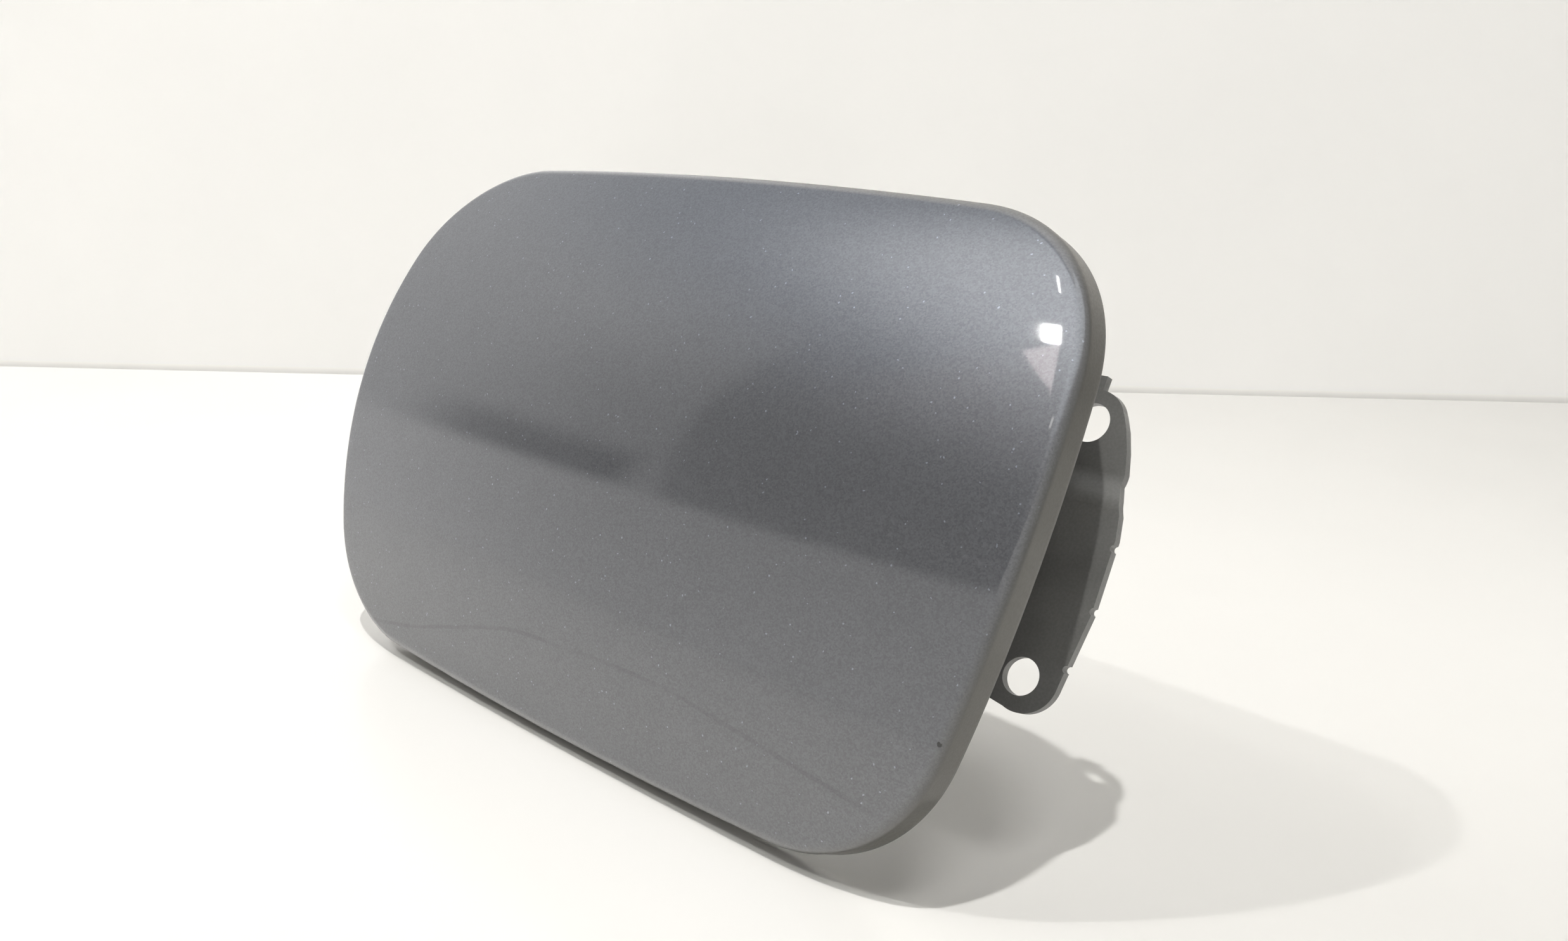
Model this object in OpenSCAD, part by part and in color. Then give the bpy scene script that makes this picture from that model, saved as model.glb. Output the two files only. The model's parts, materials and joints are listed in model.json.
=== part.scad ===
// Car fuel door: a crowned outer skin with a turned flange, an inner pressing,
// and a hinge on a stepped plate.
// Face looks along -Y, the hinge side is +X and +Z is up as on the car.
// The origin is the centre of the lower bolt hole, on the back of the hinge plate.

/* [Door outline] */
// Width of the door, across the bowed sides
door_w = 200; // [186:1:216]
// Height of the door
door_h = 128; // [120:0.5:136]
// Bow radius of the hinge side
bow_hinge_r = 194; // [150:1:300]
// Bow radius of the free side
bow_free_r = 153; // [130:1:300]
// Bow radius of the top edge
bow_top_r = 1448; // [900:1:3000]
// Bow radius of the bottom edge
bow_bottom_r = 1660; // [900:1:3000]
// Corner radius, top at the hinge side
corner_top_hinge_r = 36.6; // [30:0.1:42]
// Corner radius, bottom at the hinge side
corner_bottom_hinge_r = 33.8; // [28:0.1:40]
// Corner radius, top at the free side
corner_top_free_r = 36.4; // [30:0.1:42]
// Corner radius, bottom at the free side
corner_bottom_free_r = 33; // [28:0.1:40]

/* [Outer skin] */
// Sheet thickness of the outer skin
skin_t = 0.9; // [0.7:0.05:1.2]
// Depth of the turned flange behind the edge of the face
flange_d = 7.7; // [6.5:0.1:9]
// Outside radius of the rolled edge
roll_r = 2; // [1.4:0.1:2.6]
// Fall of the crown from the middle to each side edge
crown_side = 2.08; // [1:0.01:2.5]
// Mean fall of the crown from the middle to the top and bottom edges
crown_up = 11.64; // [9:0.01:12.2]
// Extra fall at the top edge, which the bottom edge has less
crown_top_gain = 1.52; // [0:0.01:1.8]

/* [Inner panel] */
// Sheet thickness of the inner panel
inner_t = 0.8; // [0.6:0.05:1]
// Width of the rim that is bonded to the skin
rim_w = 11; // [8:0.5:13]
// Run of the sloping wall between the rim and the platform
slope_w = 5; // [4:0.5:7]
// Depth of the platform's front face behind the middle of the skin
platform_d = 10.6; // [10.2:0.1:11.4]
// Depth of the central dish, from the platform towards the skin
dish_d = 4; // [2:0.1:5]
// Size of the dish as a share of the door
dish_share = 0.46; // [0.4:0.01:0.5]
// Bond line between the skin and the rim
bond_gap = 0.15; // [0.1:0.05:0.2]
// Diameter of the drain holes
drain_hole_d = 6; // [4:0.5:8]

/* [Hinge] */
// Diameter of the hinge pin
pin_d = 4; // [3.6:0.1:4.6]
// Radial running clearance of the pin
pin_gap = 0.05; // [0.03:0.01:0.08]
// Distance of the pin behind the middle of the face
pin_depth = 16; // [15.6:0.1:16.6]
// Distance of the pin inside the hinge edge of the door
pin_inset = 10; // [9.5:0.1:12]
// Distance between the inner faces of the fixed ears
ear_span = 35; // [33:0.5:37]
// Radius of the round end of each ear
ear_r = 4.2; // [4:0.1:4.6]
// Outside diameter of each bush
bush_d = 6; // [5.6:0.1:6.4]
// Thickness of each bush's flange
bush_flange_t = 0.9; // [0.7:0.05:1.2]
// Side play between a bush and the fixed ear
side_play = 0.15; // [0.1:0.05:0.25]
// Wire diameter of the spring
spring_wire_d = 1.2; // [1:0.1:1.4]
// Number of turns in the spring
spring_turns = 6; // [4:1:8]

/* [Hinge plate] */
// Sheet thickness of the hinge plate
plate_t = 2; // [1.6:0.1:2.4]
// Distance from the middle of the face to the back of the plate
plate_depth = 32; // [31:0.5:36]
// Height of the step between the lower and the upper part of the plate
plate_step = 3; // [2:0.1:4]
// Height of the step's middle above the lower bolt hole
step_z = 36.6; // [35:0.1:38]
// Diameter of the bolt holes
bolt_hole_d = 7.2; // [6.5:0.1:8]
// Distance between the bolt holes along Z
bolt_rise = 47.8; // [46:0.1:50]
// Offset of the upper bolt hole towards the free side
bolt_offset = 5.7; // [4:0.1:7]
// Height of the lower bolt hole below the middle of the door
bolt_drop = 17.2; // [16:0.1:20]
// Distance of the lower bolt hole inside the hinge edge of the door
bolt_inset = 6.8; // [6:0.1:9]
// Radius of the round end at the lower bolt hole
lower_lobe_r = 6.6; // [6:0.1:7.4]
// Radius of the round end at the upper bolt hole
upper_lobe_r = 6.1; // [5.6:0.1:6.6]
// Radius of the small notches in the plate's edge
notch_r = 0.7; // [0.4:0.1:1]

/* [Door arm] */
// Sheet thickness of the door arm
arm_t = 2; // [1.6:0.1:2.2]
// Length of the arm's foot on the inner panel
arm_foot = 34; // [30:1:38]
// Thread diameter of the arm's bolts
arm_bolt_d = 5; // [4:0.5:5]
// Gap between the flange of a bolt and the ear beside it
arm_bolt_gap = 1.45; // [1:0.05:2]
// Width across flats of the arm's bolts
arm_bolt_af = 8; // [7:0.5:8]
// Height of the weld nuts
nut_h = 3.6; // [3:0.1:4]

/* [Catch and buffers] */
// Sheet thickness of the catch
catch_t = 1.5; // [1.2:0.1:2]
// Width of the catch
catch_w = 22; // [18:1:26]
// Reach of the catch behind the inner panel
catch_reach = 17; // [14:0.5:20]
// Diameter of the catch's rivets
rivet_d = 4; // [3:0.5:4.5]
// Head diameter of the rubber buffers
buffer_d = 12; // [10:0.5:14]
// Height of the rubber buffers
buffer_h = 9; // [7:0.5:12]
// Stem diameter of the rubber buffers
buffer_stem_d = 5; // [4:0.5:6]

/* [Cap holder] */
// Width of the cap holder's foot
holder_w = 34; // [32:1:38]
// Opening of the cap holder's fork
fork_gap = 12; // [10:0.5:14]
// Thickness of the cap holder's walls
holder_t = 2.4; // [2:0.1:3]

/* [Hidden] */
$fn = 48;

// Place of the middle of the face, and of the hinge axis
face_x = -(door_w / 2 - bolt_inset);
face_y = -plate_depth;
face_z = bolt_drop;
pin_x = bolt_inset - pin_inset;
pin_y = face_y + pin_depth;
pin_z = bolt_rise / 2;
pin_r = pin_d / 2;
bore_r = pin_r + pin_gap;

// Depths of the inner panel and of what stands on it
platform_y = face_y + platform_d;
deck_y = platform_y + inner_t;
dish_y = deck_y - dish_d;

// Points taken on each arc of the outline
side_steps = 6;
corner_steps = 14;

// Centre of a corner arc that is tangent to the side arc and to the top arc
function corner_centre(hw, hh, rs, rt, rc) =
    let (side = [hw - rs, 0], top = [0, hh - rt])
    let (gap = norm(top - side), along = (top - side) / gap)
    let (ra = rs - rc, rb = rt - rc)
    let (a = (ra * ra - rb * rb + gap * gap) / (2 * gap))
    let (h = sqrt(max(ra * ra - a * a, 0)))
    let (p = side + a * along, q = h * [-along[1], along[0]])
    ((p + q)[0] + (p + q)[1] > (p - q)[0] + (p - q)[1]) ? p + q : p - q;

// A point on a circle
function on_arc(c, r, a) = c + r * [cos(a), sin(a)];

// A quarter of the outline, from the middle of a side to the middle of the top
function quarter(hw, hh, rs, rt, rc) =
    let (c = corner_centre(hw, hh, rs, rt, rc))
    let (a1 = atan2(c[1], c[0] - hw + rs), a2 = atan2(c[1] - hh + rt, c[0]))
    concat(
        [for (i = [0 : side_steps - 1]) on_arc([hw - rs, 0], rs, a1 * i / side_steps)],
        [for (i = [0 : corner_steps]) on_arc(c, rc, a1 + (a2 - a1) * i / corner_steps)],
        [for (i = [1 : side_steps]) on_arc([0, hh - rt], rt, a2 + (90 - a2) * i / side_steps)]);

// A list of points in the opposite order
function backwards(v) = [for (i = [len(v) - 1 : -1 : 0]) v[i]];

// A list of points without its last one
function clipped(v) = [for (i = [0 : len(v) - 2]) v[i]];

// Points multiplied by a sign in each direction
function flipped(v, sx, sz) = [for (p = v) [p[0] * sx, p[1] * sz]];

// The whole outline, moved inwards by a distance, as points round the middle of the face
function outline(inset) =
    let (hw = door_w / 2 - inset, hh = door_h / 2 - inset)
    let (rh = bow_hinge_r - inset, rf = bow_free_r - inset)
    let (rt = bow_top_r - inset, rb = bow_bottom_r - inset)
    let (q1 = quarter(hw, hh, rh, rt, corner_top_hinge_r - inset))
    let (q2 = quarter(hw, hh, rf, rt, corner_top_free_r - inset))
    let (q3 = quarter(hw, hh, rf, rb, corner_bottom_free_r - inset))
    let (q4 = quarter(hw, hh, rh, rb, corner_bottom_hinge_r - inset))
    concat(clipped(q1), clipped(backwards(flipped(q2, -1, 1))),
        clipped(flipped(q3, -1, -1)), clipped(backwards(flipped(q4, 1, -1))));

// How far the crowned face lies behind its middle
function crown(p) = let (u = 2 * p[0] / door_w, v = 2 * p[1] / door_h)
    crown_side * u * u + crown_up * v * v + crown_top_gain * v * v * v;

// A ring that follows the crown: inset from the outline, shrink towards the middle, extra depth
function crown_ring(inset, share, depth) = [for (p = outline(inset))
    let (q = p * share) [face_x + q[0], face_y + crown(q) + depth, face_z + q[1]]];

// A ring that lies in a plane
function flat_ring(inset, share, depth) = [for (p = outline(inset))
    let (q = p * share) [face_x + q[0], face_y + depth, face_z + q[1]]];

// A closed shell from a list of rings, with a point at each end
module ring_shell(first, rings, last) {
    n = len(rings[0]);
    m = len(rings);
    points = concat([first], [for (r = rings) for (p = r) p], [last]);
    polyhedron(points = points, faces = concat(
        [for (i = [0 : n - 1]) [0, 1 + (i + 1) % n, 1 + i]],
        [for (j = [0 : m - 2]) for (i = [0 : n - 1])
            [1 + j * n + i, 1 + j * n + (i + 1) % n, 1 + (j + 1) * n + i]],
        [for (j = [0 : m - 2]) for (i = [0 : n - 1])
            [1 + j * n + (i + 1) % n, 1 + (j + 1) * n + (i + 1) % n, 1 + (j + 1) * n + i]],
        [for (i = [0 : n - 1]) [m * n + 1, 1 + (m - 1) * n + i, 1 + (m - 1) * n + (i + 1) % n]]));
}

// Shares of the door at which the face has rings, and angles round the rolled edge
face_shares = [0.2, 0.4, 0.6, 0.78, 0.92];
roll_angles = [0, 22, 45, 68, 90];

module outer_skin() {
    rin = roll_r - skin_t;
    outer_face = [for (s = face_shares) crown_ring(roll_r, s, 0)];
    outer_roll = [for (a = roll_angles)
        crown_ring(roll_r * (1 - sin(a)), 1, roll_r * (1 - cos(a)))];
    inner_roll = [for (a = [90, 45, 0])
        crown_ring(skin_t + rin * (1 - sin(a)), 1, skin_t + rin * (1 - cos(a)))];
    inner_face = [for (s = backwards(face_shares)) crown_ring(roll_r, s, skin_t)];
    color([0.47, 0.48, 0.5])
        ring_shell([face_x, face_y, face_z],
            concat(outer_face, outer_roll, [crown_ring(0, 1, flange_d)],
                [crown_ring(skin_t, 1, flange_d)], inner_roll, inner_face),
            [face_x, face_y + skin_t, face_z]);
}

// A share from 0 to 1 that starts and ends level, as a drawn bend does
function soft(t) = t * t * (3 - 2 * t);

// Points along the drawn wall of the dish, and along the wall between the rim and the platform
dish_wall = 0.07;
dish_shares = [0, 0.25, 0.5, 0.75, 1];
slope_shares = [0.8, 0.6, 0.4, 0.2];

// A ring on the wall between the platform, at share 1, and the rim, at share 0
function slope_ring(t, lift) = [for (p = outline(rim_w + slope_w * t))
    let (rim = crown(p) + skin_t + bond_gap, d = rim + (platform_d - rim) * soft(t))
    [face_x + p[0], face_y + d + lift, face_z + p[1]]];

// Rings of one face of the inner panel, from the middle to the edge, at a depth added to all
function panel_rings(lift) = concat(
    [for (t = dish_shares) flat_ring(rim_w + slope_w, dish_share - dish_wall * (1 - t),
        platform_d - dish_d * (1 - soft(t)) + lift)],
    [for (share = [0.75, 1]) flat_ring(rim_w + slope_w, share, platform_d + lift)],
    [for (t = slope_shares) slope_ring(t, lift)],
    [for (inset = [rim_w, (rim_w + roll_r) / 2, roll_r + bond_gap])
        crown_ring(inset, 1, skin_t + bond_gap + lift)]);

module inner_panel() {
    color([0.42, 0.43, 0.45])
        difference() {
            ring_shell([face_x, platform_y - dish_d, face_z],
                concat(panel_rings(0), backwards(panel_rings(inner_t))),
                [face_x, dish_y, face_z]);
            for (s = both) {
                at_arm_bolt(s) panel_drill(arm_bolt_d);
                at_rivet(s) panel_drill(rivet_d);
                at_buffer(s) panel_drill(buffer_stem_d);
                at_clip(s) panel_drill(clip_d);
                translate([face_x, 0, face_z + s * drain_rise]) panel_drill(drain_hole_d);
                translate([face_x + s * datum_run, 0, face_z - datum_drop]) panel_drill(drain_hole_d);
            }
        }
}

// A hole through the inner panel alone
module panel_drill(d) {
    translate([0, face_y + skin_t, 0]) along_y(d / 2, platform_d + inner_t);
}

// A cylinder along +Y
module along_y(r, len) {
    rotate([-90, 0, 0]) cylinder(r = r, h = len);
}

// Places on the inner panel
drain_rise = 39;
datum_run = 40;
datum_drop = 30;
arm_bolt_run = 27;
arm_bolt_x = pin_x - arm_bolt_run;
catch_run = 71;
catch_x = face_x - catch_run;
rivet_pitch = 13;
buffer_run = 60;
buffer_x = face_x - buffer_run;
buffer_rise = 30;
holder_run = 8;
holder_x = face_x + holder_run;
holder_drop = 4;
holder_z = face_z - holder_drop;
clip_pitch = 25;
clip_d = 3.5;

both = [-1, 1];

module at_arm_bolt(s) {
    translate([arm_bolt_x, 0, pin_z + s * arm_bolt_pitch / 2]) children();
}

module at_rivet(s) {
    translate([catch_x, 0, face_z + s * rivet_pitch / 2]) children();
}

module at_buffer(s) {
    translate([buffer_x, 0, face_z + s * buffer_rise]) children();
}

module at_clip(s) {
    translate([holder_x + s * clip_pitch / 2, 0, holder_z]) children();
}

// A damping pad between the skin and the platform, on a side and at a height given by signs
pad_r = 5;
pad_run = 22;
pad_rise = 31;
pad_slack = 0.9;
pad_squeeze = 0.1;

module mastic_pad(sx, sz) {
    p = [sx * pad_run, sz * pad_rise];
    front = skin_t + crown(p) + pad_slack;
    color([0.2, 0.2, 0.21])
        translate([face_x + p[0], face_y + front, face_z + p[1]])
            along_y(pad_r, platform_d - front - pad_squeeze);
}

// Heights of the door's ears, from the middle of the hinge
ear_out = ear_span / 2 - side_play - bush_flange_t;
ear_in = ear_out - arm_t;

// Runs of the arm from the pin
arm_foot_near = -(arm_bolt_x - pin_x) - arm_foot / 2;
arm_foot_far = arm_foot_near + arm_foot;
arm_wall = 4;
bend_r = 1.2;

// What fills an inside corner with a bend, along Z, with the corner at the origin
module bend_fill(r, len) {
    linear_extrude(len) difference() {
        translate([-0.2, -0.2]) square(r + 0.2);
        translate([r, r]) circle(r);
    }
}

// What rounds an outside corner, along Z, with the corner at the origin
module bend_cut(r, len) {
    linear_extrude(len) difference() {
        translate([-1, -1]) square(r + 1);
        translate([r, r]) circle(r);
    }
}

module hinge_arm() {
    near = pin_x - arm_foot_near;
    far = pin_x - arm_foot_far;
    inside = deck_y + arm_t;
    color([0.3, 0.31, 0.32])
        difference() {
            union() {
                translate([far, deck_y, pin_z - ear_out]) cube([arm_foot, arm_t, 2 * ear_out]);
                for (z = [-ear_out, ear_in]) translate([0, 0, pin_z + z])
                    linear_extrude(arm_t) union() {
                        translate([pin_x, pin_y]) circle(ear_r);
                        polygon([[far, deck_y], [near, deck_y], [pin_x, pin_y - ear_r],
                            [pin_x, pin_y + ear_r], [far + arm_wall, inside + arm_wall],
                            [far, inside + arm_wall / 2]]);
                    }
                translate([far, inside, pin_z - ear_in]) rotate([90, 0, 90]) bend_fill(bend_r, arm_foot);
                translate([far, inside, pin_z + ear_in]) rotate([90, 0, 90]) mirror([0, 1, 0])
                    bend_fill(bend_r, arm_foot);
            }
            translate([pin_x, pin_y, pin_z - ear_out - 1]) cylinder(d = bush_d, h = 2 * ear_out + 2);
            for (s = both) at_arm_bolt(s)
                translate([0, deck_y - 1, 0]) along_y(arm_bolt_d / 2 + 0.4, arm_t + 2);
            translate([far - 1, deck_y, pin_z - ear_out]) rotate([90, 0, 90])
                bend_cut(bend_r + arm_t, arm_foot + 2);
            translate([far - 1, deck_y, pin_z + ear_out]) rotate([90, 0, 90]) mirror([0, 1, 0])
                bend_cut(bend_r + arm_t, arm_foot + 2);
        }
}

// Heads of the arm's bolts
bolt_flange_r = 5;
bolt_flange_t = 1.2;
arm_bolt_pitch = 2 * (ear_in - bolt_flange_r - arm_bolt_gap);
bolt_head_h = 3.2;

module arm_bolt(s) {
    seat = deck_y + arm_t;
    tail = platform_y - nut_h + 0.4;
    color([0.62, 0.6, 0.5])
        at_arm_bolt(s) {
            translate([0, tail, 0]) along_y(arm_bolt_d / 2, seat - tail);
            translate([0, seat, 0]) along_y(bolt_flange_r, bolt_flange_t);
            translate([0, seat + bolt_flange_t - 0.1, 0]) rotate([-90, 0, 0])
                cylinder(d = arm_bolt_af / cos(30), h = bolt_head_h, $fn = 6);
        }
}

module weld_nut(s) {
    color([0.5, 0.5, 0.5])
        at_arm_bolt(s) difference() {
            translate([-arm_bolt_af / 2, platform_y - nut_h, -arm_bolt_af / 2])
                cube([arm_bolt_af, nut_h, arm_bolt_af]);
            translate([0, platform_y - nut_h - 1, 0]) along_y(arm_bolt_d / 2, nut_h + 2);
        }
}

// A flanged bush on the pin, with its flange outside the door's ear
module bush(s) {
    flange_r = bush_d / 2 + 1.1;
    color([0.85, 0.84, 0.8])
        translate([pin_x, pin_y, pin_z]) mirror([0, 0, s < 0 ? 1 : 0]) difference() {
            union() {
                translate([0, 0, ear_in - 0.4]) cylinder(d = bush_d, h = arm_t + 0.4);
                translate([0, 0, ear_out]) cylinder(r = flange_r, h = bush_flange_t);
            }
            cylinder(r = bore_r, h = ear_span);
        }
}

// Outline of the hinge plate, seen from the front: its edge below the step, and its shoulder above
plate_edge_x = 8.6;
plate_waist_x = 5.8;
plate_back_x = -17;
lobe_x = 0.8;
shoulder = [[4.3, 1.1], [4, 3.5], [2.9, 7.2]];
shoulder_top = [[7.1, -0.2], [5.6, 2.6]];
tab_w = 6;
tab_h = 2.6;
step_run = 3.3;
step_points = 10;

module plate_outline() {
    top = [-bolt_offset, bolt_rise];
    tongue = ear_span / 2 + plate_t;
    union() {
        translate([lobe_x, 0]) circle(lower_lobe_r);
        translate(top) circle(upper_lobe_r);
        polygon(concat(
            [[lobe_x, -lower_lobe_r], [lobe_x + lower_lobe_r, 0], [plate_edge_x, 0.3 * bolt_rise],
                [plate_edge_x - 0.6, step_z - 8.5], [plate_waist_x + 1.3, step_z - 4.3],
                [plate_waist_x, step_z - 1.4]],
            [for (q = shoulder) [q[0], step_z + q[1]]],
            [for (q = shoulder_top) top + q],
            [top + [0, upper_lobe_r], top - [upper_lobe_r, 0],
                [plate_back_x + 2, pin_z + tongue], [plate_back_x, pin_z + tongue - 2],
                [plate_back_x, pin_z - tongue + 2], [plate_back_x + 2, pin_z - tongue],
                [plate_back_x + 4, 4.4 - lower_lobe_r], [-4.3, 0.9 - lower_lobe_r]]));
        translate([top[0] - tab_w + 0.1, top[1] + 4])
            square([tab_w, upper_lobe_r - 4 + tab_h]);
    }
}

// Joggled section of the plate, as points in Y and Z
function joggle(z) = let (t = min(max((z - step_z) / (2 * step_run) + 0.5, 0), 1))
    plate_step * t * t * (3 - 2 * t);

module plate_section() {
    zs = concat([-12], [for (i = [0 : step_points]) step_z + step_run * (2 * i / step_points - 1)], [70]);
    polygon(concat([for (z = zs) [joggle(z), z]], [for (z = backwards(zs)) [joggle(z) - plate_t, z]]));
}

module fixed_ear(base) {
    linear_extrude(plate_t) union() {
        translate([pin_x, pin_y]) circle(ear_r);
        polygon([[pin_x - ear_r, pin_y], [pin_x + ear_r, pin_y], [plate_back_x + 10, -plate_t - 3],
            [plate_back_x + 10, base], [plate_back_x + 1, base], [plate_back_x + 1, -plate_t - 3]]);
    }
}

module hinge_plate() {
    ear_run = 9;
    color([0.25, 0.25, 0.25])
        difference() {
            union() {
                translate([plate_back_x + 1, -plate_t, pin_z - ear_span / 2]) rotate([90, 0, 90])
                    mirror([1, 0, 0]) bend_fill(bend_r, ear_run);
                translate([plate_back_x + 1, plate_step - plate_t, pin_z + ear_span / 2])
                    rotate([90, 0, 90]) mirror([1, 0, 0]) mirror([0, 1, 0]) bend_fill(bend_r, ear_run);
                intersection() {
                    translate([0, plate_step + 1, 0]) rotate([90, 0, 0])
                        linear_extrude(plate_t + plate_step + 2) plate_outline();
                    translate([-30, 0, 0]) rotate([90, 0, 90]) linear_extrude(60) plate_section();
                }
                translate([0, 0, pin_z - ear_span / 2 - plate_t]) fixed_ear(-plate_t / 2);
                translate([0, 0, pin_z + ear_span / 2]) fixed_ear(plate_step - plate_t / 2);
            }
            translate([0, -plate_t - 1, 0]) along_y(bolt_hole_d / 2, plate_t + 2);
            translate([-bolt_offset, -plate_t, bolt_rise]) along_y(bolt_hole_d / 2, plate_t + plate_step + 1);
            translate([pin_x, pin_y, pin_z - ear_span]) cylinder(r = bore_r, h = 2 * ear_span);
            for (q = [[plate_edge_x - 0.5, step_z - 10], [plate_edge_x, 15], [plate_edge_x - 1, 3.8]])
                translate([q[0] + notch_r / 4, -plate_t - 1, q[1]]) along_y(notch_r, plate_t + 2);
        }
}

// Pin with a head on top and a clip groove below
pin_head_r = 3.6;
pin_head_h = 1.8;
washer_t = 0.8;
clip_t = 0.8;
groove_r = pin_r - 0.5;
ear_face = ear_span / 2 + plate_t;
groove_z = -ear_face - washer_t - clip_t;

module hinge_pin() {
    color([0.66, 0.66, 0.66])
        translate([pin_x, pin_y, pin_z]) {
            translate([0, 0, groove_z + clip_t]) cylinder(r = pin_r, h = ear_face - groove_z - clip_t);
            translate([0, 0, groove_z]) cylinder(r = groove_r, h = clip_t);
            translate([0, 0, groove_z - 1.4]) cylinder(r = pin_r, h = 1.4);
            translate([0, 0, ear_face]) rotate_extrude()
                polygon([[0, 0], [pin_head_r, 0], [pin_head_r, pin_head_h * 0.55],
                    [pin_head_r * 0.8, pin_head_h * 0.9], [pin_head_r * 0.5, pin_head_h], [0, pin_head_h]]);
        }
}

module pin_washer() {
    color([0.6, 0.6, 0.58])
        translate([pin_x, pin_y, pin_z - ear_face - washer_t]) difference() {
            cylinder(r = ear_r, h = washer_t);
            translate([0, 0, -1]) cylinder(r = bore_r + 0.05, h = washer_t + 2);
        }
}

module pin_clip() {
    color([0.2, 0.2, 0.22])
        translate([pin_x, pin_y, pin_z + groove_z]) linear_extrude(clip_t) difference() {
            circle(pin_r + 1.9);
            circle(groove_r + 0.05);
            translate([-groove_r * 0.8, -5]) square([groove_r * 1.6, 5]);
            for (a = [30, 150]) rotate(a) translate([groove_r + 0.5, 0]) circle(0.75);
        }
}

// Path of the spring's wire round the pin, from the plate to the arm
coil_r = pin_r + 0.6 + spring_wire_d / 2;
coil_pitch = spring_wire_d + 0.3;
coil_turn = 360 * spring_turns - 90;
spring_low = -coil_pitch * coil_turn / 720;
spring_sides = 10;
spring_steps = 14;
plate_leg = [-coil_r - 2, -pin_y - plate_t - 0.3 - spring_wire_d / 2];
arm_leg = [-19, deck_y + arm_t + 0.3 + spring_wire_d / 2 - pin_y];

function spring_path() = concat(
    [[plate_leg[0] - 3, plate_leg[1], spring_low], [plate_leg[0], plate_leg[1] - 1.2, spring_low]],
    [for (i = [0 : spring_steps * spring_turns - spring_steps / 4])
        let (a = 180 + 360 * i / spring_steps, f = 360 * i / spring_steps / coil_turn)
        [coil_r * cos(a), coil_r * sin(a), spring_low * (1 - 2 * f)]],
    [[arm_leg[0] * 0.6, arm_leg[1] + 1.8, -spring_low], [arm_leg[0], arm_leg[1], -spring_low]]);

// A round tube along a path whose bends lie in level planes
module level_tube(path, r, sides) {
    n = len(path);
    points = [for (i = [0 : n - 1])
        let (d = path[min(i + 1, n - 1)] - path[max(i - 1, 0)], q = [d[1], -d[0], 0] / norm([d[0], d[1]]))
        for (k = [0 : sides - 1]) let (a = 360 * k / sides)
            path[i] + r * (cos(a) * q + [0, 0, sin(a)])];
    polyhedron(points = points, faces = concat(
        [[for (k = [0 : sides - 1]) k]],
        [for (i = [0 : n - 2]) for (k = [0 : sides - 1])
            [i * sides + k, (i + 1) * sides + k, (i + 1) * sides + (k + 1) % sides]],
        [for (i = [0 : n - 2]) for (k = [0 : sides - 1])
            [i * sides + k, (i + 1) * sides + (k + 1) % sides, i * sides + (k + 1) % sides]],
        [[for (k = [sides - 1 : -1 : 0]) (n - 1) * sides + k]]));
}

module torsion_spring() {
    color([0.35, 0.35, 0.37])
        translate([pin_x, pin_y, pin_z]) level_tube(spring_path(), spring_wire_d / 2, spring_sides);
}

// Catch: a foot on the platform and a leaf with a window that the lock enters
catch_foot = 19;
leaf_corner_r = 5;
window_w = 11;
window_d = 6;

module catch() {
    leaf_x = catch_x - catch_foot / 2;
    lip_w = catch_w - 2 * leaf_corner_r;
    color([0.62, 0.6, 0.5])
        difference() {
            union() {
                translate([leaf_x, deck_y, face_z - catch_w / 2]) cube([catch_foot, catch_t, catch_w]);
                translate([leaf_x, deck_y, face_z]) rotate([90, 0, 90]) linear_extrude(catch_t) difference() {
                    union() {
                        translate([0, -catch_w / 2]) square([catch_reach - leaf_corner_r, catch_w]);
                        translate([0, leaf_corner_r - catch_w / 2])
                            square([catch_reach, lip_w]);
                        for (s = [-1, 1])
                            translate([catch_reach - leaf_corner_r, s * (catch_w / 2 - leaf_corner_r)])
                                circle(leaf_corner_r);
                    }
                    translate([catch_reach - 3 - window_d, -window_w / 2]) square([window_d, window_w]);
                }
                translate([leaf_x - 2.5, deck_y + catch_reach - catch_t, face_z - lip_w / 2])
                    cube([3, catch_t, lip_w]);
                translate([leaf_x + catch_t, deck_y + catch_t, face_z - catch_w / 2])
                    bend_fill(bend_r, catch_w);
            }
            for (s = both) at_rivet(s)
                translate([0, deck_y - 1, 0]) along_y(rivet_d / 2, catch_t + 2);
            translate([leaf_x, deck_y, face_z - catch_w / 2 - 1])
                bend_cut(bend_r + catch_t, catch_w + 2);
        }
}

module catch_rivet(s) {
    seat = deck_y + catch_t;
    color([0.7, 0.7, 0.7])
        at_rivet(s) {
            translate([0, seat, 0]) rotate([-90, 0, 0]) rotate_extrude()
                polygon([[0, 0], [rivet_d * 0.85, 0], [rivet_d * 0.7, 0.8], [rivet_d * 0.4, 1.3], [0, 1.4]]);
            translate([0, platform_y - 0.7, 0]) along_y(rivet_d / 2, seat - platform_y + 0.7);
            translate([0, platform_y - 0.7, 0]) along_y(rivet_d * 0.75, 0.7);
        }
}

// A rubber buffer, pushed through the inner panel
module buffer(s) {
    neck = buffer_stem_d / 2;
    head = buffer_d / 2;
    color([0.12, 0.12, 0.12])
        at_buffer(s) rotate([-90, 0, 0]) rotate_extrude()
            polygon([[0, platform_y - 3], [neck * 0.6, platform_y - 3], [neck + 0.8, platform_y - 0.8],
                [neck + 0.8, platform_y], [neck, platform_y], [neck, deck_y], [head, deck_y],
                [head, deck_y + buffer_h * 0.3], [head * 0.8, deck_y + buffer_h * 0.85],
                [head * 0.6, deck_y + buffer_h], [head * 0.3, deck_y + buffer_h],
                [head * 0.25, deck_y + buffer_h * 0.8], [0, deck_y + buffer_h * 0.8]]);
}

// Fork that the fuel cap hangs in while the tank is filled
holder_h = 14;
fork_reach = 15;
fork_hook = 2;
fork_tip = 5;

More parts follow.
